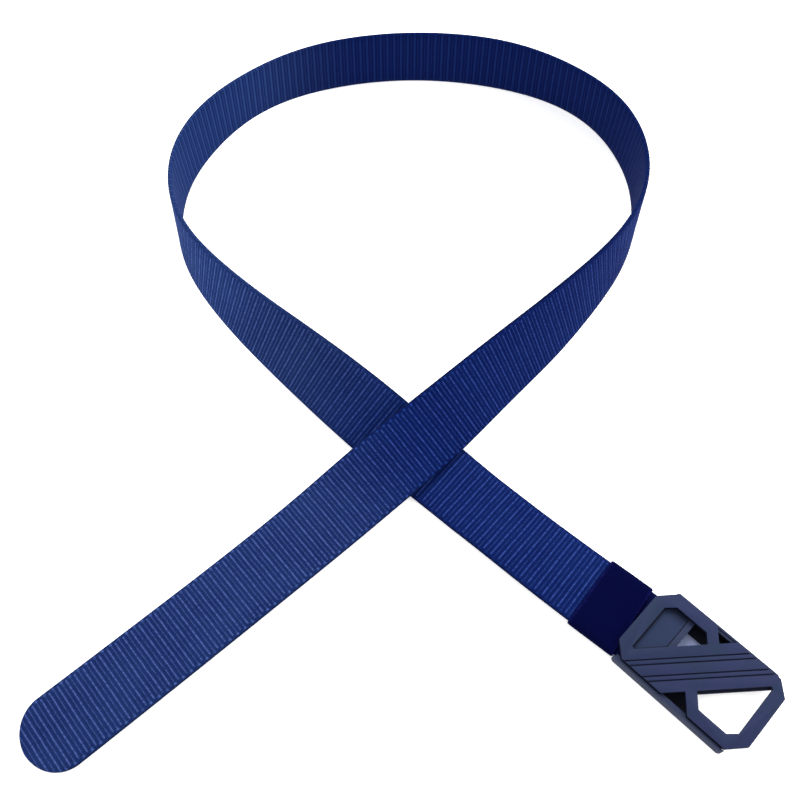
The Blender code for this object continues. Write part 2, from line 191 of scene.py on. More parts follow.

# Each paint's colour, its colour where it is rubbed, its darker colour on upright faces as painted shade,
# and its roughness
PAINTS = {
    "plate_paint": ((0.0106, 0.0209, 0.0526), (0.0191, 0.0231, 0.0743), (0.0030, 0.0045, 0.0160), 0.62),
    "wall_paint": ((0.0170, 0.0270, 0.0560), (0.0240, 0.0300, 0.0740), (0.0190, 0.0270, 0.0600), 0.62),
    # Near-black paint as painted shadow inside the buckle, on the shelves and the grip bar
    "painted_shadow_paint": ((0.0012, 0.0018, 0.0060), (0.0018, 0.0026, 0.0090), (0.0010, 0.0015, 0.0050), 0.7),
    # The lip's dark paint is painted shade along the band's edge
    "lip_shadow_paint": ((0.0040, 0.0060, 0.0200), (0.0050, 0.0070, 0.0240), (0.0030, 0.0045, 0.0160), 0.7),
    "inner_paint": ((0.0118, 0.0218, 0.0590), (0.0154, 0.0254, 0.0668), (0.0020, 0.0030, 0.0100), 0.6),
}
# Painted shade in the plate's grooves, below this height
GROOVES_PAINTED_SHADE_BELOW = PLATE_TOP - 0.45 * MM

# Shade inside the buckle: a slope towards the wall, and lines at the clamp, the window's end and the band
INNER_SLOPE = (9.0 * MM, 16.5 * MM)
INNER_LINE = (0.25 * MM, 0.60 * MM)
WINDOW_END_LINE = -28.2 * MM
BAND_EDGE_LINE = 10.95 * MM

# The floor's shaded patch under the buckle's strap end, each side as a soft step
PATCH_AT_BAND = (5.0 * MM, 8.0 * MM)
PATCH_FRONT = (6.0 * MM, 9.0 * MM)
PATCH_BACK = (-24.0 * MM, -21.0 * MM)
PATCH_LEFT = (17.0 * MM, 20.0 * MM)

# The camera that the photograph was fitted with
CAMERA_FROM_STRAP = (-0.14775, -0.50464)
CAMERA_HEIGHT = 0.45098
CAMERA_ELEVATION = 60.70
CAMERA_LENS = 42.253


# Materials


class Graph:
    """Short names for building a material's node tree."""

    def __init__(self, name):
        self.material = bpy.data.materials.new(name)
        self.material.use_nodes = True
        self.tree = self.material.node_tree
        self.shader = self.tree.nodes["Principled BSDF"]

    def node(self, kind, **settings):
        made = self.tree.nodes.new(kind)
        for key, value in settings.items():
            setattr(made, key, value)
        return made

    def put(self, value, socket):
        """Link an output, or set a number or a colour of three values."""
        if isinstance(value, bpy.types.NodeSocket):
            self.tree.links.new(value, socket)
        elif isinstance(value, tuple):
            socket.default_value = (*value, 1)
        else:
            socket.default_value = value

    def look(self, values):
        """Set the shader's inputs."""
        for name, value in values.items():
            self.put(value, self.shader.inputs[name])

    def math(self, operation, *values, clamp=False):
        made = self.node("ShaderNodeMath", operation=operation, use_clamp=clamp)
        for value, socket in zip(values, made.inputs):
            self.put(value, socket)
        return made.outputs[0]

    def plus(self, first, second):
        return self.math("ADD", first, second)

    def minus(self, first, second):
        return self.math("SUBTRACT", first, second)

    def times(self, first, *others):
        for other in others:
            first = self.math("MULTIPLY", first, other)
        return first

    def off(self, value, middle):
        """How far a value is from a middle, without its sign."""
        return self.math("ABSOLUTE", self.minus(value, middle))

    def ramp(self, value, low, high, out_low=0.0, out_high=1.0):
        """Smooth step of value from low to high."""
        made = self.node("ShaderNodeMapRange", interpolation_type="SMOOTHSTEP")
        for item, socket in zip((value, low, high, out_low, out_high), made.inputs):
            self.put(item, socket)
        return made.outputs[0]

    def fall(self, value, low, high, end=0.0):
        """Smooth step down from one."""
        return self.ramp(value, low, high, 1.0, end)

    def stretch(self, value, start, stop, end=0.0):
        """One between a smooth step up and a smooth step down."""
        return self.times(self.ramp(value, *start), self.fall(value, *stop, end))

    def mix(self, factor, first, second, blend="MIX"):
        made = self.node("ShaderNodeMix", data_type="RGBA", blend_type=blend)
        for value, number in ((factor, 0), (first, 6), (second, 7)):
            self.put(value, made.inputs[number])
        return made.outputs[2]

    def noise(self, vector, scale, detail=2.0):
        made = self.node("ShaderNodeTexNoise")
        self.put(vector, made.inputs["Vector"])
        made.inputs["Scale"].default_value = scale
        made.inputs["Detail"].default_value = detail
        made.inputs["Roughness"].default_value = 0.5
        return made.outputs[0]

    def grain(self, along, across, fineness, detail=2.0):
        """Noise over a weave, with a fineness for each direction."""
        made = self.node("ShaderNodeCombineXYZ")
        for value, turns, socket in zip((along, across), fineness, made.inputs):
            self.put(self.times(value, turns), socket)
        return self.noise(made.outputs[0], 1.0, detail)

    def wave(self, value, turns):
        return self.math("SINE", self.times(value, turns))

    def cells(self, along, across, turns):
        """Small cells of a weave, from one wave in each direction."""
        return self.times(self.wave(across, turns[1]), self.wave(along, turns[0]))

    def split(self, vector):
        made = self.node("ShaderNodeSeparateXYZ")
        self.put(vector, made.inputs[0])
        return made.outputs

    def uv(self, layer):
        return self.split(self.node("ShaderNodeUVMap", uv_map=layer).outputs[0])[:2]

    def geometry(self, output):
        return self.split(self.node("ShaderNodeNewGeometry").outputs[output])

    def buckle_place(self):
        """Distances forward and left of the buckle's middle."""
        place = self.geometry("Position")
        x, y = (self.minus(place[k], float(CENTRE[k])) for k in range(2))
        return [
            self.plus(self.times(x, float(way[0])), self.times(y, float(way[1])))
            for way in (FORWARD, LEFT)
        ]

    def across_band(self, u, v):
        """Distance across the plate's slanting band."""
        turn = math.radians(BAND_ANGLE)
        return self.minus(self.times(v, math.cos(turn)), self.times(u, math.sin(turn)))

    def bump(self, height, distance, strength):
        made = self.node("ShaderNodeBump")
        made.inputs["Strength"].default_value = strength
        made.inputs["Distance"].default_value = distance
        self.put(height, made.inputs["Height"])
        return made.outputs[0]


def distance_to_line(g, place, shift):
    """Millimetres to the nearest line of a set that repeats with the ribs."""
    period = RIB_PERIOD / MM
    turn = g.plus(g.math("DIVIDE", place, period), shift)
    return g.times(g.off(g.math("FRACT", turn), 0.5), period)


def webbing_material():
    """Blue webbing: pale ribs outside, soft stripes inside, a dark rim partly painted shade, painted
    light and shade along the strap, and painted shade on its end in the buckle.
    """
    g = Graph("webbing")
    along, across = g.uv("weave")
    side = g.uv("side")[0]
    from_middle = g.math("ABSOLUTE", across)
    drift = g.grain(along, across, (0.05, 0.12))
    place = g.plus(along, g.times(g.minus(drift, 0.5), 0.5))
    to_strong = distance_to_line(g, place, 0.5)
    to_weak = distance_to_line(g, place, 0.0)
    uneven = g.ramp(g.grain(along, across, (0.22, 0.75), 3.0), 0.30, 0.62, 0.30, 1.0)
    cells = g.cells(along, across, WEBBING_CELLS)
    fine = g.grain(along, across, (2.6, 1.4))
    cloudy = g.grain(along, across, (0.03, 0.05))

    # Outer face: beaded ribs on a speckled ground, and knuckles where the weft turns at the edges
    strong = g.fall(to_strong, 0.10, 0.62)
    weak = g.fall(to_weak, 0.08, 0.50)
    beads = g.plus(g.times(across, WEBBING_BEADS[1]), g.times(along, WEBBING_BEADS[0]))
    beads = g.math("MULTIPLY_ADD", g.math("SINE", beads), 0.16, 0.84)
    lines = g.times(g.math("MULTIPLY_ADD", weak, 0.55, strong), g.times(uneven, beads))
    lines = g.math("MULTIPLY", lines, g.fall(from_middle, *RIBS_END), clamp=True)
    ground = g.mix(g.ramp(fine, 0.35, 0.65), (0.0026, 0.0088, 0.0560), (0.0108, 0.0265, 0.1200))
    hollows = g.ramp(g.times(cells, -1.0), 0.0, 0.8, 0.0, 0.75)
    ground = g.mix(hollows, ground, (0.0018, 0.0056, 0.0400))
    ground = g.mix(g.ramp(cloudy, 0.3, 0.7, 0.0, 0.30), ground, (0.0130, 0.0320, 0.1150))
    knuckles = g.times(
        g.fall(g.off(from_middle, KNUCKLES_PLACE), 0.2, 0.9),
        g.fall(to_weak, 0.2, 1.0),
        g.ramp(uneven, 0.4, 1.0, 0.4, 1.0),
        g.fall(along, *KNUCKLES_FADE, 0.35),
    )
    outer = g.mix(lines, ground, (0.0560, 0.0920, 0.2800))
    outer = g.mix(knuckles, outer, (0.0430, 0.0820, 0.2550))

    # Inner face: soft stripes
    soft_weak = g.ramp(to_weak, 0.2, 0.9, 0.55, 0.0)
    stripes = g.math("ADD", g.fall(to_strong, 0.3, 1.2), soft_weak, clamp=True)
    inner = g.mix(g.ramp(fine, 0.35, 0.65), (0.0022, 0.0070, 0.0500), (0.0042, 0.0110, 0.0660))
    inner = g.mix(stripes, inner, (0.0120, 0.0280, 0.1050))
    faces = g.mix(g.ramp(side, -0.2, 0.4), inner, outer)

    # Rim: dark where the strap lies flat, its own edge colour partly painted shade, and striped where it
    # stands on edge
    rim = g.times(g.fall(g.math("ABSOLUTE", side), 0.35, 0.95), g.ramp(from_middle, *RIM_STARTS))
    striped = g.mix(stripes, (0.0065, 0.0135, 0.0580), (0.0135, 0.0270, 0.0980))
    on_edge = g.stretch(along, *ON_EDGE)
    faces = g.mix(rim, faces, g.mix(on_edge, (0.0035, 0.0085, 0.0360), striped))

    # Painted light on the tail and the loop's side, painted shade elsewhere with dimmer ribs, a painted
    # sheen, and painted shade in the buckle
    pale = g.math("MAXIMUM", g.fall(along, *PAINTED_LIGHT_TAIL_ENDS), g.stretch(along, *PAINTED_LIGHT_SIDE, 0.12))
    painted_shade_along = g.times(g.minus(1.0, pale), g.math("MULTIPLY_ADD", lines, -0.40, 1.0))
    faces = g.mix(painted_shade_along, faces, (0.20, 0.41, 0.78), "MULTIPLY")
    faces = g.mix(g.stretch(along, *PAINTED_SHEEN_SIDE), faces, (1.30, 1.44, 1.40), "MULTIPLY")
    faces = g.mix(g.ramp(along, *PAINTED_SHADE_END_STARTS), faces, (0.0012, 0.0026, 0.0320))

    relief = g.plus(g.plus(g.times(cells, 0.35), g.times(fine, 0.8)), g.times(lines, 0.6))
    g.look({
        "Base Color": faces,
        "Roughness": 0.8,
        "Specular IOR Level": 0.03,
        "Sheen Weight": 0.03,
        "Sheen Roughness": 0.4,
        "Sheen Tint": (0.30, 0.42, 0.90),
        "Normal": g.bump(relief, 0.12 * MM, 0.8),
    })
    return g.material


def keeper_material():
    """Nearly black navy elastic with fine threads and a slightly paler hem."""
    g = Graph("keeper_weave")
    along, across = g.uv("weave")
    cells = g.cells(along, across, KEEPER_CELLS)
    fine = g.grain(along, across, (1.6, 1.6), 3.0)
    colour = g.mix(g.ramp(cells, -0.6, 0.9), (0.0005, 0.0010, 0.0200), (0.0010, 0.0020, 0.0330))
    colour = g.mix(g.ramp(fine, 0.5, 0.8, 0.0, 0.4), colour, (0.0020, 0.0035, 0.0500))
    hem = g.ramp(g.off(along, KEEPER_LENGTH / 2 / MM), 10.4, 11.4)
    worn = g.ramp(g.grain(along, across, (1.0, 3.0), 3.0), 0.45, 0.75)
    g.look({
        "Base Color": g.mix(g.times(hem, g.times(worn, 0.9)), colour, (0.0150, 0.0160, 0.1700)),
        "Roughness": 0.85,
        "Specular IOR Level": 0.02,
        "Normal": g.bump(g.plus(cells, fine), 0.10 * MM, 0.7),
    })
    return g.material


def inner_shade(g):
    """Shade inside the buckle, towards the wall and in dark lines."""
    u, v = g.buckle_place()
    lines = ((u, -CLAMP_FROM_CENTRE), (u, WINDOW_END_LINE), (g.across_band(u, v), BAND_EDGE_LINE))
    shade = g.ramp(v, *INNER_SLOPE, 0.0, 0.75)
    for place, middle in lines:
        shade = g.math("MAXIMUM", shade, g.ramp(g.off(place, middle), *INNER_LINE, 0.9, 0.0))
    return shade


def paint_material(name, painted_shade_below=None, inside=False):
    """Satin paint with a fine grain, slightly lighter where it is rubbed, with painted shade on upright
    faces.

    It also has painted shade below a height, such as in grooves, and where the inside of the buckle is in
    shade.
    """
    colour, worn, upright, roughness = PAINTS[name]
    g = Graph(name)
    place = g.node("ShaderNodeTexCoord").outputs["Object"]
    grain = g.noise(place, 2600.0)
    patches = g.noise(place, 60.0, 3.0)
    mixed = g.mix(g.ramp(patches, 0.3, 0.7, 0.0, 0.7), colour, worn)
    mixed = g.mix(g.ramp(grain, 0.50, 0.8, 0.0, 0.4), mixed, worn)
    # Painted shade: upright faces take the darker upright colour
    lit = g.ramp(g.geometry("True Normal")[2], 0.25, 0.75)
    # Painted shade below a height, as in the grooves
    if painted_shade_below:
        height = g.geometry("Position")[2]
        lit = g.times(lit, g.ramp(height, painted_shade_below, painted_shade_below + 0.15 * MM, 0.25, 1.0))
    if inside:
        lit = g.times(lit, g.minus(1.0, inner_shade(g)))
    g.look({
        "Base Color": g.mix(lit, upright, mixed),
        "Roughness": g.ramp(patches, 0.25, 0.75, roughness - 0.05, roughness + 0.06),
        "Specular IOR Level": 0.12,
        "Normal": g.bump(grain, 0.03 * MM, 0.5),
    })
    return g.material


def floor_material():
    """A plain pale floor that is in shade under the buckle's strap end."""
    g = Graph("floor")
    u, v = g.buckle_place()
    shade = g.times(
        g.ramp(g.across_band(u, v), *PATCH_AT_BAND),
        g.fall(u, *PATCH_FRONT),
        g.fall(v, *PATCH_LEFT),
        g.ramp(u, *PATCH_BACK),
    )
    g.look({
        "Base Color": g.mix(shade, (0.92, 0.92, 0.93), (0.30, 0.36, 0.62)),
        "Roughness": 0.9,
        "Emission Color": (1.0, 1.0, 1.0),
        "Emission Strength": g.ramp(shade, 0.0, 1.0, 0.50, 0.02),
    })
    return g.material


# The strap's path, as in the part's source


def route_column(name, shares):
    """One value of the stations on a smooth curve through them."""
    x = np.array([row.share for row in ROUTE])
    y = np.array([getattr(row, name) for row in ROUTE])
    slope = np.gradient(y, x)
    low = np.clip(np.searchsorted(x, shares, side="right") - 1, 0, len(x) - 2)
    span = x[low + 1] - x[low]
    t = (shares - x[low]) / span
    start = (1 + 2 * t) * (1 - t) ** 2 * y[low] + t * (1 - t) ** 2 * span * slope[low]
    end = t**2 * (3 - 2 * t) * y[low + 1] - t**2 * (1 - t) * span * slope[low + 1]
    return start + end


def strap_path():
    """Share, centre, direction across and outward normal at every millimetre."""
    count = int(round(STRAP_LENGTH / MM))
    share = np.linspace(0.0, 1.0, count + 1)
    step = STRAP_LENGTH / count
    heading = np.radians(route_column("heading", share))
    roll = np.radians(route_column("roll", share))
    lift = np.maximum(route_column("lift", share), 0.0) * STRAP_WIDTH
    lift += np.maximum(route_column("layers", share), 0.0) * (STRAP_THICK + GAP)
    half_core = (STRAP_WIDTH - STRAP_THICK) / 2
    height = lift + half_core * np.abs(np.sin(roll)) + STRAP_THICK / 2
    pitch = np.arcsin(np.gradient(height, step))
    level = np.cos(pitch)
    along = np.stack([level * np.cos(heading), level * np.sin(heading), np.sin(pitch)], axis=1)
    left = np.stack([-np.sin(heading), np.cos(heading), np.zeros_like(heading)], axis=1)
    upward = np.cross(along, left)
    across = np.cos(roll)[:, None] * left + np.sin(roll)[:, None] * upward
    normal = np.cross(along, across)
    middle = (along[1:] + along[:-1]) / 2 * step
    centre = np.zeros_like(along)
    centre[1:, :2] = np.cumsum(middle[:, :2], axis=0)
    centre[:, 2] = height
    corners = [
        centre + across * (a * half_core) + normal * (n * STRAP_THICK / 2)
        for a in (-1, 1) for n in (-1, 1)
    ]
    shift = np.array(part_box("strap")[1]) - np.concatenate(corners).max(axis=0)
    centre[:, :2] += shift[:2]
    return share, centre, across, normal


PATH = strap_path()


def path_at(distances):
    """Centres, across and normal directions at distances from the strap's tip."""
    shares = distances / STRAP_LENGTH
    centre, across, normal = (
        np.stack([np.interp(shares, PATH[0], column[:, k]) for k in range(3)], axis=1)
        for column in PATH[1:]
    )
    across /= np.linalg.norm(across, axis=1)[:, None]
    normal /= np.linalg.norm(normal, axis=1)[:, None]
    return centre, across, normal


# Strap and keeper


def add_object(name, data, material=None):
    obj = bpy.data.objects.new(name, data)
    bpy.context.collection.objects.link(obj)
    if material:
        data.materials.append(material)
    return obj


def smooth_object(name, vertices, faces, material):
    mesh = bpy.data.meshes.new(name)
    mesh.from_pydata(vertices, [], faces)
    mesh.validate()
    mesh.shade_smooth()
    return add_object(name, mesh, material)


def add_uv(obj, name, first, second):
    """A UV layer from two values for each vertex."""
    mesh = obj.data
    layer = mesh.uv_layers.new(name=name)
    index = np.empty(len(mesh.loops), int)
    mesh.loops.foreach_get("vertex_index", index)
    values = np.stack([first[index], second[index]], axis=1).astype(np.float32)
    layer.data.foreach_set("uv", values.ravel())


def grid_faces(rings, count, closed=False):
    """Quads between rings of points, and from the last ring to the first if closed."""
    faces = []
    for r in range(rings if closed else rings - 1):
        a, b = r * count, (r + 1) % rings * count
        for k in range(count):
            n = (k + 1) % count
            faces.append((a + k, a + n, b + n, b + k))
    return faces


def section(half_width, half_thick):
    """Across and normal offsets of a flat section with half-round edges, front face first."""
    core = half_width - half_thick
    points = []
    for side in (1, -1):
        for k in range(FACE_POINTS):
            points.append((side * core * (1 - 2 * k / (FACE_POINTS - 1)), side * half_thick))
        for k in range(1, EDGE_POINTS + 1):
            turn = math.pi * (0.5 - k / (EDGE_POINTS + 1))
            reach = core + half_thick * math.cos(turn)
            points.append((-side * reach, side * half_thick * math.sin(turn)))
    return np.array(points)


def rib_height(distance):
    """Height of the ribs over the ground weave."""
    height = 0.0
    for rib, shift in ((STRONG_RIB, 0.0), (WEAK_RIB, 0.5)):
        to_rib = np.abs(((distance / RIB_PERIOD + shift) % 1.0) - 0.5) * RIB_PERIOD
        share = np.clip(1 - to_rib / RIB_HALF_WIDTH, 0, 1)
        height = height + rib * share * (2 - share)
    return height


def webbing_places():
    """Distances from the tip at which the webbing has a ring of points."""
    places = [TIP_LENGTH * (1 - math.cos(x)) for x in np.linspace(*TIP_TURNS, TIP_RINGS)]
    for k in range(int(STRAP_LENGTH / RIB_PERIOD * 2) + 1):
        middle = k * RIB_PERIOD / 2
        places += [middle + x * RIB_HALF_WIDTH for x in (-1.0, -0.5, 0.0, 0.5, 1.0)]
        places.append(middle + RIB_PERIOD / 4)
    places = sorted(p for p in places if FIRST_RING < p < STRAP_LENGTH)
    places = np.array(places + [STRAP_LENGTH])
    return places[np.concatenate([[True], np.diff(places) > LEAST_RING_STEP])]


def build_webbing():
    places = webbing_places()
    centre, across, normal = path_at(places)
    from_round = np.clip(1 - places / TIP_LENGTH, 0.0, 1.0)
    half_width = np.maximum(STRAP_WIDTH / 2 * np.sqrt(1 - from_round**2), STRAP_THICK * 0.6)
    ground = STRAP_THICK / 2 - STRONG_RIB * 0.5
    height = rib_height(places)
    count = 2 * (FACE_POINTS + EDGE_POINTS)
    vertices, s_values, t_values, sides = [], [], [], []
    for i, place in enumerate(places):
        flat = section(half_width[i], ground)
        to_edge = np.clip((half_width[i] - np.abs(flat[:, 0])) / RIB_TO_EDGE, 0.0, 1.0)
        share = flat[:, 1] / ground
        lift = height[i] * share * to_edge * np.where(share > 0, 1.0, INNER_RIB_SHARE)
        out = flat[:, 1:] + lift[:, None]
        vertices.append(centre[i] + across[i] * flat[:, :1] + normal[i] * out)
        s_values.append(np.full(count, place / MM))
        t_values.append(flat[:, 0] / MM)
        sides.append(share)
    faces = grid_faces(len(places), count)
    faces.append(tuple(reversed(range(count))))
    faces.append(tuple(range((len(places) - 1) * count, len(places) * count)))
    points = np.concatenate(vertices).tolist()
    obj = smooth_object("webbing", points, faces, webbing_material())
    add_uv(obj, "weave", np.concatenate(s_values), np.concatenate(t_values))
    add_uv(obj, "side", np.concatenate(sides), np.zeros(len(points)))
    return obj


def build_keeper(start):
    """A sleeve with thick soft edges, whose end at the buckle is a little slanted."""
    inner_width = STRAP_WIDTH / 2 + GAP
    inner_thick = STRAP_THICK / 2 + GAP
    places = [KEEPER_LENGTH * k / KEEPER_STEPS for k in range(KEEPER_STEPS + 1)]
    rings = []
    for place in places:
        from_end = min(place, KEEPER_LENGTH - place)
        lost = max(0.0, 1 - from_end / KEEPER_ROUND) ** 2 * KEEPER_ROUND_SHARE
        rings.append((place, KEEPER_WALL * (1 - lost)))
    rings += [(place, KEEPER_LINING) for place in reversed(places)]
    centre, across, normal = path_at(start + np.array([place for place, _wall in rings]))
    count = 2 * (FACE_POINTS + EDGE_POINTS)
    vertices, s_values, t_values = [], [], []
    for i, (place, wall) in enumerate(rings):
        flat = section(inner_width + wall, inner_thick + wall)
        slant = KEEPER_SLANT[0] - KEEPER_SLANT[1] * flat[:, :1] / inner_width
        further = np.cross(across[i], normal[i]) * slant * place / KEEPER_LENGTH
        vertices.append(centre[i] + across[i] * flat[:, :1] + normal[i] * flat[:, 1:] + further)
        s_values.append(np.full(count, place / MM))
        t_values.append(flat[:, 0] / MM + 2.0 * flat[:, 1] / MM)
    faces = grid_faces(len(rings), count, closed=True)
    points = np.concatenate(vertices).tolist()
    obj = smooth_object("keeper_sleeve", points, faces, keeper_material())
    add_uv(obj, "weave", np.concatenate(s_values), np.concatenate(t_values))
    return obj


# The buckle's outlines, as in the part's source


def line(point, degrees):
    turn = math.radians(degrees)
    return np.array(point, float), np.array([math.cos(turn), math.sin(turn)])


def meet(first, second):
    (p, d), (q, e) = first, second
    reach = ((q[0] - p[0]) * e[1] - (q[1] - p[1]) * e[0]) / (d[0] * e[1] - d[1] * e[0])
    return p + d * reach


def cut_corner(before, corner, after, size):
    corner = np.array(corner)
    points = []
    for other in (before, after):
        away = np.array(other) - corner
        points.append(corner + away / np.linalg.norm(away) * size)
    return points


def turned(points):
    return [-np.array(p) for p in points]


def mirrored(points, side):
    return [(u, side * v) for u, v in points]


def rectangle(u_low, u_high, v_low, v_high):
    return [(u_low, v_low), (u_high, v_low), (u_high, v_high), (u_low, v_high)]


def band_point(along, offset):
    turn = math.radians(BAND_ANGLE)
    return np.array([
        along * math.cos(turn) - offset * math.sin(turn),
        along * math.sin(turn) + offset * math.cos(turn),
    ])


def band_edge():
    return line(band_point(0.0, BAND_WIDTH / 2), BAND_ANGLE)


def plate_half(start, stop, bar_from_centre):
    """The plate's outline on one long side, from the start end to the stop end."""
    half_width = PLATE_WIDTH / 2
    side = line((0.0, half_width), 0.0)
    notch_foot = band_point(bar_from_centre + BAR_WIDTH, BAND_WIDTH / 2)
    points = [
        (-start, half_width - LONG_CUT[1]),
        (-start + LONG_CUT[0], half_width),
        meet(side, line(notch_foot, BAR_ANGLE)),
        notch_foot,
        meet(side, band_edge()),
        (stop - SHORT_CUT[0], half_width),
        (stop, half_width - SHORT_CUT[1]),
    ]
    return [np.array(p) for p in points]


def plate_outline():
    start, stop = PLATE_ENDS
    far_bar, near_bar = BARS_FROM_CENTRE
    return plate_half(start, stop, far_bar) + turned(plate_half(stop, start, near_bar))


def window_outline(plate_end, bar_from_centre):
    edge = band_edge()
    bar = line(band_point(bar_from_centre, BAND_WIDTH / 2), BAR_ANGLE)
    side = line((0.0, PLATE_WIDTH / 2 - SIDE_BORDER), 0.0)
    end = line((-plate_end + END_BORDER, 0.0), 90.0)
    tip, foot = meet(edge, end), meet(edge, bar)
    head, corner = meet(side, bar), meet(side, end)
    return (
        cut_corner(foot, tip, corner, WINDOW_TIP_CUT)
        + cut_corner(tip, corner, head, WINDOW_CUT)
        + [head, foot]
    )


def buckle_frame():
    """Middle, forward and left directions of the buckle."""
    end, across, _normal = (v[0] for v in path_at(np.array([STRAP_LENGTH])))
    heading = math.atan2(across[1], across[0]) - math.pi / 2 + math.radians(BUCKLE_TURN)
    forward = np.array([math.cos(heading), math.sin(heading)])
    left = np.array([-forward[1], forward[0]])
    strap_end = -CLAMP_FROM_CENTRE - CLAMP_SHEET - STRAP_END_PLAY
    return end[:2] - forward * strap_end + left * BUCKLE_SIDE_SHIFT, forward, left


CENTRE, FORWARD, LEFT = buckle_frame()

# The buckle's pieces


def prism(name, outline, low, high, material=None):
    """An upright solid over an outline given in the buckle's own directions."""
    bm = bmesh.new()
    rings = []
    for height in (low, high):
        flat = [CENTRE + FORWARD * u + LEFT * v for u, v in outline]
        rings.append([bm.verts.new((x, y, height)) for x, y in flat])
    count = len(outline)
    for k in range(count):
        n = (k + 1) % count
        bm.faces.new((rings[0][k], rings[0][n], rings[1][n], rings[1][k]))
    for ring in rings:
        bm.faces.new(ring)
    bmesh.ops.recalc_face_normals(bm, faces=bm.faces)
    mesh = bpy.data.meshes.new(name)
    bm.to_mesh(mesh)
    bm.free()
    return add_object(name, mesh, material)


def settle(obj):
    """Replace the mesh by what its modifiers make of it."""
    bpy.context.view_layer.update()
    shown = obj.evaluated_get(bpy.context.evaluated_depsgraph_get())
    mesh = bpy.data.meshes.new_from_object(shown)
    obj.modifiers.clear()
    obj.data = mesh


def carve(obj, cutters, operation="DIFFERENCE"):
    """Boolean the cutters into obj for good and remove them."""
    for cutter in cutters:
        modifier = obj.modifiers.new(cutter.name, "BOOLEAN")
        modifier.operation = operation
        modifier.solver = "EXACT"
        modifier.object = cutter
    settle(obj)
    for cutter in cutters:
        bpy.data.objects.remove(cutter, do_unlink=True)


def join(name, pieces):
    """One object from the pieces' closed shells."""
    bm = bmesh.new()
    for piece in pieces:
        bm.from_mesh(piece.data)
    bm.to_mesh(pieces[0].data)
    bm.free()
    for piece in pieces[1:]:
        bpy.data.objects.remove(piece, do_unlink=True)
    pieces[0].name = name
    return pieces[0]


def soften(obj, width):
    """Round the sharp edges."""
    modifier = obj.modifiers.new("soften", "BEVEL")
    modifier.width = width
    modifier.segments = 2
    modifier.limit_method = "ANGLE"
    modifier.angle_limit = math.radians(30)
    modifier.harden_normals = False
    settle(obj)
    obj.data.shade_smooth()
    obj.data.set_sharp_from_angle(angle=math.radians(50))
    return obj


def build_plate(material):
    """The face plate with its two windows and four grooves."""
    below, above = PLATE_TOP - PLATE_THICK, PLATE_TOP + CUT_MARGIN
    plate = prism("buckle_plate", plate_outline(), below, PLATE_TOP, material)
    near, far = (window_outline(end, bar) for end, bar in zip(PLATE_ENDS, BARS_FROM_CENTRE))
    cutters = [
        prism("window_near", near, below - CUT_MARGIN, above),
        prism("window_far", turned(far), below - CUT_MARGIN, above),
    ]
    reach = 2 * PLATE_ENDS[1]
    for number, offset in enumerate((*GROOVE_OFFSETS, *(-o for o in GROOVE_OFFSETS))):
        corners = ((-reach, -1), (reach, -1), (reach, 1), (-reach, 1))
        groove = [band_point(a, offset + s * GROOVE_WIDTH / 2) for a, s in corners]
        cutters.append(prism(f"groove_{number}", groove, PLATE_TOP - GROOVE_DEPTH, above))
    carve(plate, cutters)
    return soften(plate, 0.22 * MM)


def build_walls(material):
    """The two side walls with their seam against the plate, and the crossbar between them."""
    outer = PLATE_WIDTH / 2 + WALL_STANDS_OUT
    near = PLATE_WIDTH / 2 + WALL_SEAM
    stop = PLATE_ENDS[1] - WALL_FRONT_SETBACK
    cut_along, cut_across = WALL_END_CUT
    web_top = PLATE_TOP - PLATE_THICK - FINE_GAP
    strips = (
        ("web", outer - WALL_THICK - WEB_WIDTH, web_top - WEB_THICK, web_top),
        ("inside", outer - WALL_THICK, SHELF_BOTTOM, web_top - WEB_THICK / 2),
    )
    pieces = []
    for side, setback in zip((1, -1), WALL_SETBACKS):
        start = -PLATE_ENDS[0] + setback
        wall = [
            (start, near), (start, outer - cut_across), (start + cut_along, outer),
            (stop - cut_along, outer), (stop, outer - cut_across), (stop, near),
        ]
        wall_top = PLATE_TOP - WALL_BELOW_TOP
        pieces.append(prism(f"wall_{side}", mirrored(wall, side), 0.0, wall_top, material))
        for name, edge, low, high in strips:
            strip = rectangle(start + MM, stop - MM, edge, near + WALL_SEAM / 2)
            pieces.append(prism(f"{name}_{side}", mirrored(strip, side), low, high, material))
    inner = outer - WALL_THICK / 2
    back = -CLAMP_FROM_CENTRE + FINE_GAP
    bar_top = PLATE_TOP - PLATE_THICK - CROSSBAR_BELOW_CLAMP
    bar = rectangle(back, back + CROSSBAR_WIDTH, -inner, inner)
    pieces.append(prism("crossbar", bar, bar_top - CROSSBAR_HEIGHT, bar_top, material))
    return soften(join("buckle_walls", pieces), 0.25 * MM)


def build_lip(material):
    """The low ledge along the band's edge at the far window, dark with painted shade."""
    turn = math.radians(BAND_ANGLE)
    tip = meet(band_edge(), line((-PLATE_ENDS[1] + END_BORDER, 0.0), 90.0))
    stop = -(tip[0] * math.cos(turn) + tip[1] * math.sin(turn))
    corners = rectangle(-BARS_FROM_CENTRE[1], stop, -LIP_OUT, LIP_UNDER)
    outline = [band_point(along, -BAND_WIDTH / 2 + offset) for along, offset in corners]
    below = PLATE_TOP - PLATE_THICK
    return prism("band_lip", outline, below - LIP_DEPTH, below - 0.02 * MM, material)


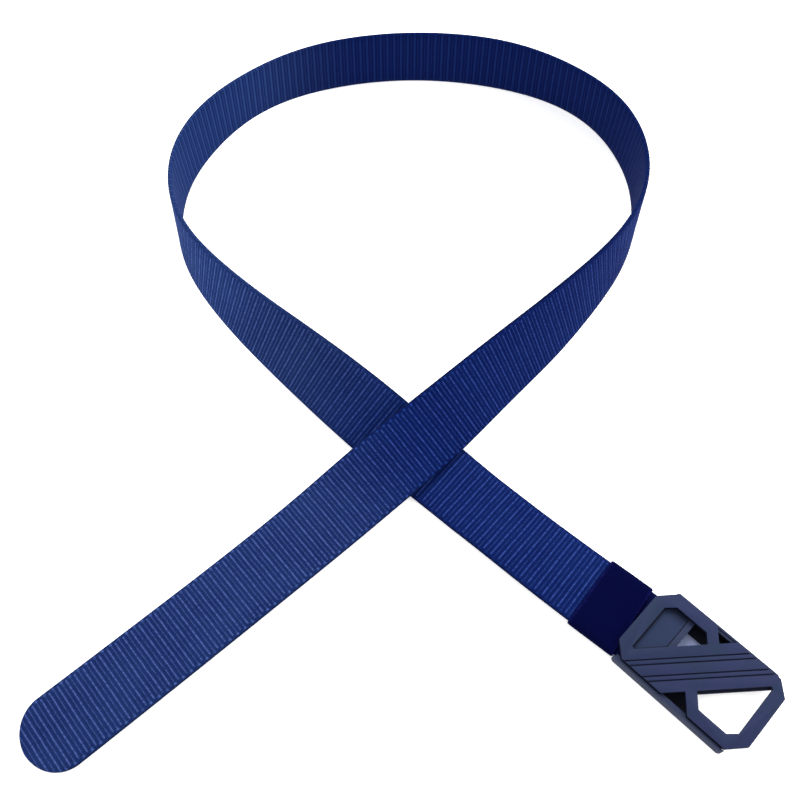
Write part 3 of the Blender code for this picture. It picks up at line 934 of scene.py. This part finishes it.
def build_shelves(material):
    """The shelves inside the walls, dark with painted shadow, seen through the window and the notches."""
    back = -CLAMP_FROM_CENTRE + GAP
    edge = PLATE_WIDTH / 2 + WALL_STANDS_OUT - WALL_THICK - SHELF_TO_WALL
    backing = rectangle(back, SHELF_FRONT + BACKING_REACH, edge - BACKING_THICK, edge)
    backing_top = PLATE_TOP - PLATE_THICK - BACKING_BELOW_PLATE
    pieces = []
    for side, from_centre in zip((1, -1), SHELVES_FROM_CENTRE):
        shelf = [
            (back, from_centre),
            (SHELF_FRONT - SHELF_SLANT[0], from_centre),
            (SHELF_FRONT, from_centre + SHELF_SLANT[1]),
            (SHELF_FRONT_AT_WALL, edge),
            (back, edge),
        ]
        for name, outline, top in (("shelf", shelf, SHELF_TOP), ("backing", backing, backing_top)):
            flat = mirrored(outline, side)
            pieces.append(prism(f"{name}_{side}", flat, SHELF_BOTTOM, top, material))
    return join("buckle_shelves", pieces)


def build_clamp(material):
    """The folded sheet that the strap ends in."""
    strap_low = ROUTE[-1].lift * STRAP_WIDTH
    bottom = strap_low - GAP - CLAMP_SHEET
    roof = strap_low + STRAP_THICK + GAP
    front = -CLAMP_FROM_CENTRE
    back = front - CLAMP_LENGTH
    half = CLAMP_WIDTH / 2
    sheet = rectangle(back, front, -half, half)
    fold = rectangle(front - CLAMP_SHEET, front, -half, half)
    clamp = prism("clamp_plate", sheet, roof, roof + CLAMP_SHEET, material)
    parts = [
        prism("clamp_front", fold, bottom, roof + CLAMP_SHEET / 2),
        prism("clamp_under", sheet, bottom, bottom + CLAMP_SHEET),
    ]
    carve(clamp, parts, "UNION")
    return soften(clamp, 0.2 * MM)


# Building

webbing = build_webbing()
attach(webbing, "root")
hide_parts("strap")

end_play = CLAMP_SHEET + STRAP_END_PLAY
strap_in_buckle = max(PLATE_ENDS[0] - CLAMP_FROM_CENTRE, CLAMP_LENGTH) - end_play
keeper_end = STRAP_LENGTH - strap_in_buckle - KEEPER_TO_PLATE
keeper = build_keeper(keeper_end - KEEPER_LENGTH)
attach(keeper, "root")
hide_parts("keeper")

painted_shadow_paint = paint_material("painted_shadow_paint")
for piece in (
    build_plate(paint_material("plate_paint", painted_shade_below=GROOVES_PAINTED_SHADE_BELOW)),
    build_walls(paint_material("wall_paint")),
    build_lip(paint_material("lip_shadow_paint")),
    build_shelves(painted_shadow_paint),
):
    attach(piece, "root")
    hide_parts("buckle_body")

clamp = build_clamp(paint_material("inner_paint", inside=True))
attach(clamp, "root")
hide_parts("strap_clamp")
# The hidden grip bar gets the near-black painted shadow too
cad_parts["grip_bar"].material_slots[0].material = painted_shadow_paint

# Floor, light and camera

FLOOR_HALF = 3
FLOOR_DEPTH = 0.2 * MM
floor_mesh = bpy.data.meshes.new("floor")
floor_corners = [(FLOOR_HALF * x, FLOOR_HALF * y, 0) for x, y in ((-1, -1), (1, -1), (1, 1), (-1, 1))]
floor_mesh.from_pydata(floor_corners, [], [(0, 1, 2, 3)])
floor = add_object("floor", floor_mesh, floor_material())
floor.location.z = -FLOOR_DEPTH

world = bpy.data.worlds.new("studio")
bpy.context.scene.world = world
world.use_nodes = True
background = world.node_tree.nodes["Background"]
background.inputs["Color"].default_value = (1.0, 1.0, 1.0, 1)
background.inputs["Strength"].default_value = 0.80


def area_light(name, place, aim, size, power):
    light = bpy.data.lights.new(name, "AREA")
    light.shape = "SQUARE"
    light.size = size
    light.energy = power
    obj = add_object(name, light)
    obj.location = place
    obj.rotation_euler = (Vector(aim) - Vector(place)).to_track_quat("-Z", "Y").to_euler()


area_light("key", (0.1, 1.1, 1.3), (0.0, 0.0, 0.0), 0.8, 25.0)
area_light("fill", (-0.9, -0.5, 1.3), (0.0, 0.0, 0.0), 1.5, 6.0)
area_light("side", (1.0, 0.1, 0.7), (-0.1, 0.1, 0.0), 0.8, 8.0)

camera = bpy.data.cameras.new("camera")
camera.sensor_fit = "HORIZONTAL"
camera.sensor_width = 36.0
camera.lens = CAMERA_LENS
camera_object = add_object("camera", camera)
strap_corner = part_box("strap")[1]
camera_object.location = (
    strap_corner[0] + CAMERA_FROM_STRAP[0], strap_corner[1] + CAMERA_FROM_STRAP[1], CAMERA_HEIGHT
)
camera_object.rotation_euler = (math.radians(90 - CAMERA_ELEVATION), 0.0, 0.0)
bpy.context.scene.camera = camera_object
bpy.context.scene.view_settings.view_transform = "Standard"
